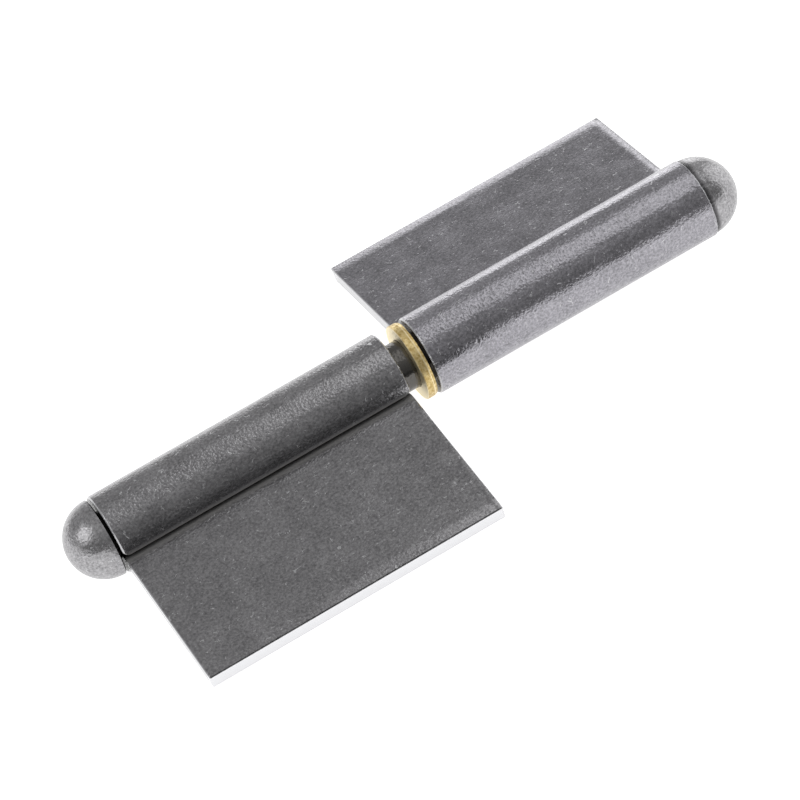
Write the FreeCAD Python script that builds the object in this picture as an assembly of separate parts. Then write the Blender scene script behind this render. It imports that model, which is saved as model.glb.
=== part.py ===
"""Weld-on lift-off flag hinge: two rolled steel leaves on one pin with a brass thrust ring.

The hinge lies on its knuckles with the far edge of both flags on the floor, drawn a few
millimetres apart along the pin. X runs along the pin, Z is up and the floor is Z = 0.
"""
import math
import os

import FreeCAD
import Part

Vec = FreeCAD.Vector
X_AXIS = Vec(1, 0, 0)
Z_AXIS = Vec(0, 0, 1)

# Rolled leaves, both from the same pressing
sheet_thickness = 3.0
pin_diameter = 9.9
pin_clearance = 0.05
bore_radius = pin_diameter / 2 + pin_clearance
knuckle_radius = bore_radius + sheet_thickness
knuckle_length = 61.5
flag_reach = 41.3            # pin axis to the far edge of the flag
flag_top = 0.3               # height of the flag's seam-side face above the pin axis
root_bend_radius = 1.0       # concave bend where the flag leaves the knuckle
free_end_angle = 8.0         # the roll stops this many degrees above the flag
free_end_corner = 1.5        # rounding of the two corners of the free end
flag_corner = 0.3            # rounding of the two far corners of the flag
far_edge_chamfer = 0.2       # both long edges of the flag's far side
rim_chamfer = 0.3            # outside edges of the knuckle's two ends

# Positions along the pin, drawn apart as it lies
head_gap = 0.5               # under the pin's head, which is not driven home
pin_bare_length = 3.15       # bare pin between the first knuckle and the ring
ring_thickness = 2.0
ring_gap = 0.7               # between the ring and the second knuckle

# Turned pieces
dome_inset = 0.25            # the domes are a little slimmer than the knuckles
dome_radius = knuckle_radius - dome_inset
head_land = 0.3              # straight rim of the pin's head below its dome
head_rim_edge = 0.15
pin_reach = 52.5             # pin beyond the first knuckle
pin_tip_chamfer = 1.0
ring_inset = 0.25
ring_radius = knuckle_radius - ring_inset
ring_clearance = 0.1
ring_chamfer = 0.15          # edge on the first knuckle's side
ring_slope_length = 0.5      # long shallow chamfer on the second knuckle's side
ring_slope_depth = 0.2
plug_land = 0.15
plug_spigot_length = 8.0
plug_spigot_chamfer = 0.5

# Derived places, measured from the outer end of the first knuckle
knuckle_gap = pin_bare_length + ring_thickness + ring_gap
ring_start = knuckle_length + pin_bare_length
socket_start = knuckle_length + knuckle_gap
socket_end = socket_start + knuckle_length
head_centre = -(head_gap + head_land)
plug_centre = socket_end + plug_land
hinge_middle = (head_centre + plug_centre) / 2

# Each flag sinks until its weld-side edge is on the floor beside the knuckle
flag_bottom = flag_top - sheet_thickness
edge_reach = flag_reach - far_edge_chamfer
flag_droop = math.degrees(
    math.asin(knuckle_radius / math.hypot(edge_reach, flag_bottom))
    - math.atan2(-flag_bottom, edge_reach)
)


def section_point(reach, height):
    """Point of the leaf's section; reach runs from the pin axis towards the flag's far edge."""
    return Vec(0, -reach, height)


def ring_point(radius, degrees):
    """Point of the section on a circle about the pin, counted upwards from the flag side."""
    turn = math.radians(degrees)
    return section_point(radius * math.cos(turn), radius * math.sin(turn))


def arc_about(centre, radius, start, middle, end):
    """Arc of the section given by three angles in degrees."""
    points = [centre + ring_point(radius, angle) for angle in (start, middle, end)]
    return Part.Arc(*points).toShape()


def root_bend():
    """Reach of the reverse bend's centre, and the angle at which the bend meets the roll."""
    bend_height = flag_bottom - root_bend_radius
    bend_distance = knuckle_radius + root_bend_radius
    bend_reach = math.sqrt(bend_distance ** 2 - bend_height ** 2)
    return bend_reach, math.degrees(math.atan2(bend_height, bend_reach))


def leaf_section():
    """Closed section of one sheet: flag, reverse bend at its root, and the roll round the pin."""
    axis = section_point(0, 0)
    bend_reach, root_angle = root_bend()
    bend_centre = section_point(bend_reach, flag_bottom - root_bend_radius)
    meeting_angle = root_angle + 180
    bend_middle = (90 + meeting_angle) / 2
    roll_start = root_angle + 360
    roll_middle = (roll_start + free_end_angle) / 2
    outside_bend_radius = root_bend_radius + sheet_thickness
    far_top = section_point(flag_reach, flag_top)
    far_bottom = section_point(flag_reach, flag_bottom)
    bend_top = section_point(bend_reach, flag_top)
    bend_bottom = section_point(bend_reach, flag_bottom)
    edges = [
        Part.makeLine(far_top, bend_top),
        arc_about(bend_centre, outside_bend_radius, 90, bend_middle, meeting_angle),
        arc_about(axis, bore_radius, roll_start, roll_middle, free_end_angle),
        Part.makeLine(ring_point(bore_radius, free_end_angle), ring_point(knuckle_radius, free_end_angle)),
        arc_about(axis, knuckle_radius, free_end_angle, roll_middle, roll_start),
        arc_about(bend_centre, root_bend_radius, meeting_angle, bend_middle, 90),
        Part.makeLine(bend_bottom, far_bottom),
        Part.makeLine(far_bottom, far_top),
    ]
    return Part.Face(Part.Wire(Part.__sortEdges__(edges)))


def edge_between(shape, start, end):
    """The edge of a shape that joins two given points."""
    def distance(edge):
        ends = [vertex.Point for vertex in edge.Vertexes]
        forward = ends[0].distanceToPoint(start) + ends[-1].distanceToPoint(end)
        backward = ends[-1].distanceToPoint(start) + ends[0].distanceToPoint(end)
        return min(forward, backward)
    return min(shape.Edges, key=distance)


def round_end_corners(leaf, seam_side, weld_side, radius):
    """Round the corners that one edge of the sheet makes with the two ends of the leaf."""
    corners = []
    for end in (Vec(0, 0, 0), X_AXIS * knuckle_length):
        corners.append(edge_between(leaf, seam_side + end, weld_side + end))
    return leaf.makeFillet(radius, corners)


def rim_cutter():
    """What the chamfer takes off the knuckle's rim, from below the free end round to the root bend."""
    def corner(along, outwards):
        return Vec(along, -(knuckle_radius + outwards), 0)
    corners = [
        corner(-rim_chamfer, -2 * rim_chamfer),
        corner(2 * rim_chamfer, rim_chamfer),
        corner(-rim_chamfer, rim_chamfer),
    ]
    profile = Part.Face(Part.makePolygon(corners + corners[:1]))
    profile.rotate(Vec(0, 0, 0), X_AXIS, -free_end_angle / 2)
    _, root_angle = root_bend()
    return profile.revolve(Vec(0, 0, 0), -X_AXIS, root_angle + 360 - free_end_angle / 2)


def make_leaf():
    """One leaf with its flag level, its knuckle about X and its seam side up."""
    leaf = leaf_section().extrude(X_AXIS * knuckle_length)
    far_top = section_point(flag_reach, flag_top)
    far_bottom = section_point(flag_reach, flag_bottom)
    end_inside = ring_point(bore_radius, free_end_angle)
    end_outside = ring_point(knuckle_radius, free_end_angle)
    leaf = round_end_corners(leaf, far_top, far_bottom, flag_corner)
    leaf = round_end_corners(leaf, end_inside, end_outside, free_end_corner)
    middle = X_AXIS * knuckle_length / 2
    far_edges = [nearest_edge(leaf, far_bottom + middle), nearest_edge(leaf, far_top + middle)]
    leaf = leaf.makeChamfer(far_edge_chamfer, far_edges)
    near_cutter = rim_cutter()
    far_cutter = near_cutter.mirror(middle, X_AXIS)
    return leaf.cut([near_cutter, far_cutter]).Solids[0]


def nearest_edge(shape, point):
    """The edge of a shape that passes nearest to a point."""
    probe = Part.Vertex(point)
    return min(shape.Edges, key=lambda edge: edge.distToShape(probe)[0])


def turned(first, *steps):
    """Solid turned about X. Each step is the next (along, radius) point, or a pair for an arc."""
    here = Vec(*first)
    start = here
    edges = []
    for step in steps:
        if isinstance(step[0], tuple):
            through = Vec(*step[0])
            there = Vec(*step[1])
            edges.append(Part.Arc(here, through, there).toShape())
        else:
            there = Vec(*step)
            edges.append(Part.makeLine(here, there))
        here = there
    edges.append(Part.makeLine(here, start))
    return Part.Face(Part.Wire(edges)).revolve(Vec(0, 0, 0), X_AXIS, 360)


def dome_arc(centre, side):
    """Quarter arc from the dome's rim to its pole, or back; side is -1 or 1 along X."""
    slant = dome_radius * math.sqrt(0.5)
    rim = (centre, dome_radius)
    shoulder = (centre + side * slant, slant)
    pole = (centre + side * dome_radius, 0)
    return rim, shoulder, pole


def make_pin():
    """Pin and domed head turned from one bar; the head's rim is straight for a short way."""
    radius = pin_diameter / 2
    rim, shoulder, pole = dome_arc(head_centre, -1)
    tip = knuckle_length + pin_reach
    return turned(
        pole,
        (shoulder, rim),
        (-head_gap - head_rim_edge, dome_radius),
        (-head_gap, dome_radius - head_rim_edge),
        (-head_gap, radius),
        (tip - pin_tip_chamfer, radius),
        (tip, radius - pin_tip_chamfer),
        (tip, 0),
    )


def make_ring():
    """Brass ring with a long shallow chamfer on the side of the second knuckle."""
    inside = pin_diameter / 2 + ring_clearance
    end = ring_start + ring_thickness
    return turned(
        (ring_start, inside),
        (ring_start, ring_radius - ring_chamfer),
        (ring_start + ring_chamfer, ring_radius),
        (end - ring_slope_length, ring_radius),
        (end, ring_radius - ring_slope_depth),
        (end, inside),
    )


def make_plug():
    """Domed plug whose spigot is pressed into the far end of the second knuckle's bore."""
    rim, shoulder, pole = dome_arc(plug_centre, 1)
    spigot_end = socket_end - plug_spigot_length
    return turned(
        (spigot_end, 0),
        (spigot_end, bore_radius - plug_spigot_chamfer),
        (spigot_end + plug_spigot_chamfer, bore_radius),
        (socket_end, bore_radius),
        (socket_end, dome_radius),
        rim,
        (shoulder, pole),
    )


def lay_down(solid):
    """Move a piece from the pin axis to its place on the floor, with the hinge's middle at X = 0."""
    placed = solid.copy()
    placed.translate(Vec(-hinge_middle, 0, knuckle_radius))
    return placed


pin_leaf = make_leaf()
socket_leaf = pin_leaf.copy()
pin_leaf.rotate(Vec(0, 0, 0), X_AXIS, flag_droop)
socket_leaf.rotate(Vec(knuckle_length / 2, 0, 0), Z_AXIS, 180)
socket_leaf.rotate(Vec(0, 0, 0), X_AXIS, -flag_droop)
socket_leaf.translate(X_AXIS * socket_start)

pieces = {
    "pin_leaf": pin_leaf,
    "hinge_pin": make_pin(),
    "thrust_ring": make_ring(),
    "socket_leaf": socket_leaf,
    "end_plug": make_plug(),
}

os.makedirs("parts", exist_ok=True)
for name, solid in pieces.items():
    lay_down(solid).exportStep(f"parts/{name}.step")
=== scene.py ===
import math

import bpy
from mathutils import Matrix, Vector

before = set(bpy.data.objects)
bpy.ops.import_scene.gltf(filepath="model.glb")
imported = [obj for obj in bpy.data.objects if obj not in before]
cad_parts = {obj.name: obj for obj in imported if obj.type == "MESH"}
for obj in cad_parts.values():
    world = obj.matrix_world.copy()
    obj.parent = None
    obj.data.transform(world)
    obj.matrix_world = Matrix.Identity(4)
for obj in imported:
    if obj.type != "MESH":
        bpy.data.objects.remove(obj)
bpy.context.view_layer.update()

# The two leaves: 3 mm mild steel strip, sheared to length, rolled round the pin and then
# tumbled in stones with no plating or paint. Tumbling leaves the steel dark grey and satiny, with
# soft edges, fine dents all over and short curly scratches that point every way. Their light edges
# are painted highlights.


def linear(colour):
    """Linear red, green, blue and alpha of an sRGB hex colour."""
    parts = [int(colour[i : i + 2], 16) / 255 for i in (1, 3, 5)]
    return [p / 12.92 if p <= 0.04045 else ((p + 0.055) / 1.055) ** 2.4 for p in parts] + [1.0]


def add(tree, kind, values=None, **settings):
    """Adds a node. Each value is a number or colour for an input, or the output that feeds it."""
    node = tree.nodes.new(kind)
    for setting, value in settings.items():
        setattr(node, setting, value)
    for name, value in (values or {}).items():
        if isinstance(value, bpy.types.NodeSocket):
            tree.links.new(value, node.inputs[name])
        else:
            node.inputs[name].default_value = value
    return node


def maths(tree, operation, *values):
    """The result of a math node on these numbers or outputs."""
    return add(tree, "ShaderNodeMath", dict(enumerate(values)), operation=operation).outputs[0]


def fade(tree, value, start, end, first=0.0, last=1.0, how="LINEAR"):
    """Goes from the first level to the last one while the value goes from start to end."""
    limits = {"From Min": start, "From Max": end, "To Min": first, "To Max": last}
    values = {"Value": value, **limits}
    return add(tree, "ShaderNodeMapRange", values, interpolation_type=how).outputs[0]


def noise(tree, place, size_mm, detail, roughness=0.5):
    """A noise whose features are this many millimetres apart."""
    values = {"Vector": place, "Scale": 1000.0 / size_mm, "Detail": detail, "Roughness": roughness}
    return add(tree, "ShaderNodeTexNoise", values)


def blend(tree, socket, where, value, how="MIX"):
    """Changes what feeds an input towards another value or colour, as a mask goes from 0 to 1."""
    kind = "FLOAT"
    if isinstance(value, str):
        kind, value = "RGBA", linear(value)
    before = socket.links[0].from_socket if socket.is_linked else socket.default_value
    values = {"Factor": where, "A": before, "B": value}
    mix = add(tree, "ShaderNodeMix", values, data_type=kind, blend_type=how)
    tree.links.new(mix.outputs["Result"], socket)


def object_xyz(tree):
    """The object's own coordinates in metres, split into X, Y and Z."""
    place = add(tree, "ShaderNodeTexCoord").outputs["Object"]
    return add(tree, "ShaderNodeSeparateXYZ", {"Vector": place}).outputs


def scratches(tree, place, length_mm, width_mm, share):
    """Short crooked lines: the borders between wobbly cells, kept only where a noise is high."""
    wobble = noise(tree, place, length_mm * 0.7, detail=1.0).outputs["Color"]
    wobble = add(
        tree,
        "ShaderNodeVectorMath",
        {0: wobble, 1: (length_mm / 1000,) * 3, 2: place},
        operation="MULTIPLY_ADD",
    )
    cells = add(
        tree,
        "ShaderNodeTexVoronoi",
        {"Vector": wobble.outputs["Vector"], "Scale": 1000.0 / length_mm},
        feature="DISTANCE_TO_EDGE",
    )
    width = width_mm / length_mm
    line = fade(tree, cells.outputs["Distance"], 0.0, width, 1.0, 0.0, how="SMOOTHSTEP")
    kept = noise(tree, place, length_mm * 0.6, detail=0.0).outputs["Fac"]
    kept = fade(tree, kept, share, share + 0.06, how="SMOOTHSTEP")
    return maths(tree, "MULTIPLY", line, kept)


def tumbled_steel(name, dark, light, bare, roughness):
    """Bare steel out of the tumbler: its colour, gloss and relief, with the relief in mm."""
    steel = bpy.data.materials.new(name)
    steel.use_nodes = True
    tree = steel.node_tree
    shader = tree.nodes["Principled BSDF"]
    place = add(tree, "ShaderNodeTexCoord").outputs["Object"]

    # Colour: clouds a few millimetres wide and the grain that the stones leave, a little lighter
    # in the scratches.
    clouds = noise(tree, place, 6.0, detail=4.0, roughness=0.6).outputs["Fac"]
    grain = noise(tree, place, 0.5, detail=2.0, roughness=0.8).outputs["Fac"]
    tone = fade(tree, maths(tree, "MULTIPLY_ADD", clouds, 0.3, grain), 0.45, 0.85)
    long_marks = scratches(tree, place, 3.0, 0.11, 0.70)
    short_marks = scratches(tree, place, 1.5, 0.08, 0.71)
    marks = maths(tree, "MAXIMUM", long_marks, short_marks)
    shader.inputs["Base Color"].default_value = linear(dark)
    blend(tree, shader.inputs["Base Color"], tone, light)
    blend(tree, shader.inputs["Base Color"], maths(tree, "MULTIPLY", marks, 0.65), bare)

    # Gloss: satin, a little duller in the clouds and in the scratches.
    dull = fade(tree, clouds, 0.35, 0.65, roughness - 0.04, roughness + 0.04)
    dull = maths(tree, "MULTIPLY_ADD", marks, 0.1, dull)
    tree.links.new(dull, shader.inputs["Roughness"])

    # Relief: slow waves, which rolling and turning draw out lengthwise, stone dents half a
    # millimetre wide and the grain, with the scratches cut in.
    drawn = {0: place, 1: (0.25, 1.0, 1.0)}
    drawn = add(tree, "ShaderNodeVectorMath", drawn, operation="MULTIPLY").outputs["Vector"]
    waves = noise(tree, drawn, 3.0, detail=2.0).outputs["Fac"]
    dents = noise(tree, place, 0.5, detail=1.0).outputs["Fac"]
    relief = maths(tree, "MULTIPLY", waves, 0.13)
    for pattern, depth_mm in ((dents, 0.05), (grain, 0.025), (marks, -0.02)):
        relief = maths(tree, "MULTIPLY_ADD", pattern, depth_mm, relief)
    bump = add(tree, "ShaderNodeBump", {"Height": relief, "Distance": 0.001})
    tree.links.new(bump.outputs["Normal"], shader.inputs["Normal"])
    return steel


def dress(piece, material):
    """Gives a piece this material alone."""
    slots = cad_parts[piece].data.materials
    slots.clear()
    slots.append(material)


# Each leaf has its side of the pin in Y, the X of its right end, its two colours, and the painted
# shade that darkens its flag.
for leaf, side, right_end, dark, light, painted_flag_shade in (
    ("pin_leaf", -1, -0.0026, "#737274", "#a9a8aa", "#f8f8f8"),
    ("socket_leaf", 1, 0.06475, "#79787c", "#afadb3", "#ebebeb"),
):
    leaf_steel = tumbled_steel(
        "tumbled mild steel " + leaf, dark, light, bare="#dcdcde", roughness=0.19
    )
    tree = leaf_steel.node_tree
    shader = tree.nodes["Principled BSDF"]
    colour = shader.inputs["Base Color"]
    bump = tree.nodes["Bump"]
    at = object_xyz(tree)
    reach = maths(tree, "MULTIPLY", at["Y"], side)

    # The flat flag has a shallower relief than the round knuckle, and its colour is darkened as
    # painted shade.
    bend, flat_start = 0.0085, 0.0105
    on_flag = fade(tree, reach, bend, flat_start)
    rubbed = fade(tree, on_flag, 0.0, 1.0, 1.0, 0.4)
    relief = maths(tree, "MULTIPLY", bump.inputs["Height"].links[0].from_socket, rubbed)
    blend(tree, colour, on_flag, painted_flag_shade, how="MULTIPLY")

    # The shear draws the flag's upper skin down over its long edge and its right end.
    draw_start, far_edge, draw_length = 0.0378, 0.041, 0.002
    to_edge = fade(tree, reach, draw_start, far_edge)
    to_end = fade(tree, at["X"], right_end - draw_length, right_end)
    to_end = maths(tree, "MULTIPLY", to_end, fade(tree, reach, flat_start, 0.015))
    for way, drop_mm in ((to_edge, -0.3), (to_end, -0.5)):
        curve = maths(tree, "POWER", way, 2.0)
        relief = maths(tree, "MULTIPLY_ADD", curve, drop_mm, relief)
    tree.links.new(relief, bump.inputs["Height"])
    edge_radius = 0.0002
    rounded = add(tree, "ShaderNodeBevel", {"Radius": edge_radius}, samples=6)
    tree.links.new(rounded.outputs["Normal"], bump.inputs["Normal"])

    # Faces that face along the hinge, such as the knuckle's rims and the flag's ends, get a painted
    # highlight.
    # The flag's upright long edge face gets a painted reflection of the white floor, and the end
    # faces inside the gaps at the knuckle's ends get painted shade.
    facing = add(
        tree,
        "ShaderNodeVectorTransform",
        {"Vector": add(tree, "ShaderNodeNewGeometry").outputs["True Normal"]},
        vector_type="NORMAL",
        convert_from="WORLD",
        convert_to="OBJECT",
    ).outputs["Vector"]
    facing = add(tree, "ShaderNodeVectorMath", {0: facing}, operation="ABSOLUTE").outputs["Vector"]
    facing = add(tree, "ShaderNodeSeparateXYZ", {"Vector": facing}).outputs
    painted_end_highlight = maths(tree, "GREATER_THAN", facing["X"], 0.3)
    end_face = maths(tree, "GREATER_THAN", facing["X"], 0.9)
    upright = maths(tree, "LESS_THAN", facing["Z"], 0.5)
    near_edge, knuckle_radius = 0.0395, 0.0081
    at_edge = maths(tree, "GREATER_THAN", reach, near_edge)
    on_knuckle = maths(tree, "LESS_THAN", reach, knuckle_radius)
    # Painted highlight on the faces that face along the hinge.
    blend(tree, colour, painted_end_highlight, "#b4b4b6")
    # Painted reflection of the white floor on the flag's upright long edge face.
    blend(tree, colour, maths(tree, "MULTIPLY", upright, at_edge), "#dcdcde")
    # Painted shade on the knuckle's end faces inside the gaps.
    blend(tree, colour, maths(tree, "MULTIPLY", end_face, on_knuckle), "#2e2c2a")

    # The groove where the rolled end meets the flag is a pale grey band that is nearly dull, not
    # metallic.
    seam, groove_core, groove_reach = (0.0, 0.0079, 0.0078), 0.0006, 0.0014
    section = add(tree, "ShaderNodeCombineXYZ", {"Y": reach, "Z": at["Z"]}).outputs["Vector"]
    away = add(tree, "ShaderNodeVectorMath", {0: section, 1: seam}, operation="DISTANCE")
    groove_band = fade(tree, away.outputs["Value"], groove_core, groove_reach, 1.0, 0.0)
    blend(tree, colour, groove_band, "#8c8b8a")
    shader.inputs["Metallic"].default_value = 0.9
    blend(tree, shader.inputs["Metallic"], groove_band, 0.1)
    dress(leaf, leaf_steel)

# The headed pin: one steel bar turned to a round head and a plain shank, then tumbled. The head is
# burnished a little brighter than the leaves. The shank runs in the other leaf and stays smooth,
# under a thin film of dark oil.
pin_steel = tumbled_steel(
    "burnished turned steel", "#7b7a7c", "#b3b2b4", bare="#d0d0d2", roughness=0.27
)
tree = pin_steel.node_tree
shader = tree.nodes["Principled BSDF"]
shader.inputs["Metallic"].default_value = 0.95
at = object_xyz(tree)
head_face, shank_start = -0.0648, -0.0646
on_shank = fade(tree, at["X"], head_face, shank_start)
blend(tree, shader.inputs["Base Color"], on_shank, "#5e5c59")
blend(tree, shader.inputs["Roughness"], on_shank, 0.15)
blend(tree, tree.nodes["Bump"].inputs["Strength"], on_shank, 0.6)
# A dark band of painted shade on the pin, in the narrow gap between its head and the knuckle.
gap_middle, half_band = -0.0643, 0.0005
from_gap = maths(tree, "ABSOLUTE", maths(tree, "SUBTRACT", at["X"], gap_middle))
painted_shade_band = maths(tree, "LESS_THAN", from_gap, half_band)
blend(tree, shader.inputs["Base Color"], painted_shade_band, "#1e1d1c")
dress("hinge_pin", pin_steel)

# The thrust ring: a flat washer cut from brass bar, which keeps the two steel knuckles apart. It is
# left bare, so it is a warm, slightly tarnished yellow with fine tumbling marks. The bright lines
# along its two edges are painted highlights.
ring_brass = bpy.data.materials.new("bare turned brass")
ring_brass.use_nodes = True
tree = ring_brass.node_tree
shader = tree.nodes["Principled BSDF"]
shader.inputs["Metallic"].default_value = 0.85
place = add(tree, "ShaderNodeTexCoord").outputs["Object"]
at = object_xyz(tree)
tarnish = noise(tree, place, 0.6, detail=4.0, roughness=0.7).outputs["Fac"]
tarnish = fade(tree, tarnish, 0.38, 0.62)
shader.inputs["Base Color"].default_value = linear("#bb9f60")
blend(tree, shader.inputs["Base Color"], tarnish, "#e8d29a")
# Painted highlights along the ring's two edge lines.
for edge_x, width in ((0.00055, 0.00012), (0.00198, 0.00016)):
    away = maths(tree, "ABSOLUTE", maths(tree, "SUBTRACT", at["X"], edge_x))
    painted_edge_highlight = fade(tree, away, 0.0, width, 0.9, 0.0)
    blend(tree, shader.inputs["Base Color"], painted_edge_highlight, "#fff0c8")
tree.links.new(fade(tree, tarnish, 0.0, 1.0, 0.46, 0.34), shader.inputs["Roughness"])
pits = noise(tree, place, 0.35, detail=2.0).outputs["Fac"]
pit_depth = 0.00003
bump = add(tree, "ShaderNodeBump", {"Height": pits, "Distance": pit_depth})
tree.links.new(bump.outputs["Normal"], shader.inputs["Normal"])
dress("thrust_ring", ring_brass)

# The end plug: turned from the same bar as the pin's head, pressed tight into the far end of the
# socket leaf, so only its round end shows. It has the head's burnished finish.
plug_steel = tumbled_steel(
    "burnished end plug steel", "#7b7a7c", "#b3b2b4", bare="#d0d0d2", roughness=0.27
)
tree = plug_steel.node_tree
shader = tree.nodes["Principled BSDF"]
shader.inputs["Metallic"].default_value = 0.95
at = object_xyz(tree)
# A band of painted shade on the dome, next to its seat in the knuckle.
seat, band_end = 0.065, 0.0657
painted_shade_band = fade(tree, at["X"], seat, band_end, 1.0, 0.0)
blend(tree, shader.inputs["Base Color"], painted_shade_band, "#565557")
dress("end_plug", plug_steel)

# The floor: a wide sheet of white card that the hinge lies on. It keeps the hinge's soft shadow,
# and a little light of its own makes it white to the camera and in the metal.
bpy.ops.object.select_all(action="DESELECT")
bpy.ops.mesh.primitive_circle_add(vertices=96, radius=3.0, fill_type="NGON", location=(0, 0, 0))
floor = bpy.context.object
floor.name = "floor"
white_card = bpy.data.materials.new("white card")
white_card.use_nodes = True
tree = white_card.node_tree
tree.nodes.remove(tree.nodes["Principled BSDF"])
card = add(tree, "ShaderNodeBsdfDiffuse", {"Color": linear("#c4c4c4")})
ray = add(tree, "ShaderNodeLightPath").outputs
seen = maths(tree, "MAXIMUM", ray["Is Camera Ray"], ray["Is Glossy Ray"])
seen = maths(tree, "MAXIMUM", seen, ray["Is Transmission Ray"])
glow = add(tree, "ShaderNodeEmission", {"Strength": seen})
both = add(tree, "ShaderNodeAddShader", {0: card.outputs[0], 1: glow.outputs[0]})
tree.links.new(both.outputs[0], tree.nodes["Material Output"].inputs["Surface"])
floor.data.materials.append(white_card)

# The light: a pale tent, bright near the horizon and behind, dim where the camera stands. Soft
# lamps stand above, at each end of the hinge, and low behind it. Each level of the tent goes with
# a height, from the horizon at 0 to straight up at 1.
world = bpy.data.worlds.new("light tent")
bpy.context.scene.world = world
world.use_nodes = True
tree = world.node_tree
sky = add(tree, "ShaderNodeTexCoord").outputs["Generated"]
way = add(tree, "ShaderNodeSeparateXYZ", {"Vector": sky}).outputs
behind = add(tree, "ShaderNodeValToRGB", {"Fac": way["Z"]})
ahead = add(tree, "ShaderNodeValToRGB", {"Fac": way["Z"]})
for ramp, stops in (
    (behind, ((0.0, 1.3), (0.1, 0.75), (0.3, 0.52), (0.55, 0.5), (0.83, 0.47), (1.0, 0.5))),
    (ahead, ((0.0, 1.0), (0.05, 0.9), (0.08, 0.23), (0.5, 0.3), (0.8, 0.46), (1.0, 0.5))),
):
    while len(ramp.color_ramp.elements) < len(stops):
        ramp.color_ramp.elements.new(0.5)
    for element, (height, level) in zip(ramp.color_ramp.elements, stops):
        element.position = height
        element.color = (level, level, level, 1.0)
side = fade(tree, way["Y"], -0.35, 0.25, how="SMOOTHSTEP")
tent = add(
    tree,
    "ShaderNodeMix",
    {"Factor": side, "A": ahead.outputs["Color"], "B": behind.outputs["Color"]},
    data_type="RGBA",
)
tree.links.new(tent.outputs["Result"], tree.nodes["Background"].inputs["Color"])
for name, place, aim, wide, high, level in (
    ("lamp above", (0.33, 0.0, 0.85), (0.33, 0.0, 0.0), 0.36, 0.76, 0.8),
    ("lamp at the left", (-0.75, 0.0, 0.68), (0.0, 0.0, 0.0), 0.60, 0.60, 1.6),
    ("lamp at the right", (0.85, 0.08, 0.35), (0.0, 0.0, 0.0), 0.90, 0.70, 1.0),
    ("lamp behind", (0.375, 0.85, 0.11), (0.0, 0.0, 0.0), 0.43, 0.34, 1.6),
):
    lamp = bpy.data.lights.new(name, "AREA")
    lamp.shape = "RECTANGLE"
    lamp.size = wide
    lamp.size_y = high
    lamp.energy = level * math.pi * wide * high
    lamp_object = bpy.data.objects.new(name, lamp)
    bpy.context.scene.collection.objects.link(lamp_object)
    lamp_object.location = place
    towards = Vector(aim) - lamp_object.location
    lamp_object.rotation_euler = towards.to_track_quat("-Z", "Y").to_euler()
    lamp_object.visible_camera = False

# A low strip of grey felt stands in front of the near leaf, out of the camera's sight. The near
# knuckle mirrors it, which draws that knuckle's dark lower half as in the photograph.
bpy.ops.object.select_all(action="DESELECT")
bpy.ops.mesh.primitive_plane_add(
    size=1.0, location=(-0.022, -0.05, 0.0075), rotation=(math.pi / 2, 0, 0)
)
dark_card = bpy.context.object
dark_card.name = "dark_card"
dark_card.scale = (0.09, 0.015, 1.0)
bpy.ops.object.transform_apply(location=True, rotation=True, scale=True)
grey_felt = bpy.data.materials.new("grey felt")
grey_felt.use_nodes = True
felt_shader = grey_felt.node_tree.nodes["Principled BSDF"]
felt_shader.inputs["Base Color"].default_value = linear("#8a8a8a")
felt_shader.inputs["Roughness"].default_value = 1.0
dark_card.data.materials.append(grey_felt)
dark_card.visible_camera = False
dark_card.visible_shadow = False
dark_card.visible_diffuse = False

# The camera: a long lens, above and to the left of the near leaf, as in the photograph.
camera_data = bpy.data.cameras.new("camera")
camera_data.lens = 191.2
camera_data.sensor_width = 36.0
camera_data.clip_start = 0.01
camera_data.clip_end = 20.0
camera = bpy.data.objects.new("camera", camera_data)
bpy.context.scene.collection.objects.link(camera)
camera.location = (-0.150369, -0.580625, 0.526618)
camera.rotation_euler = (0.81812, 0.265481, -0.489154)
bpy.context.scene.camera = camera
bpy.context.scene.view_settings.view_transform = "Standard"
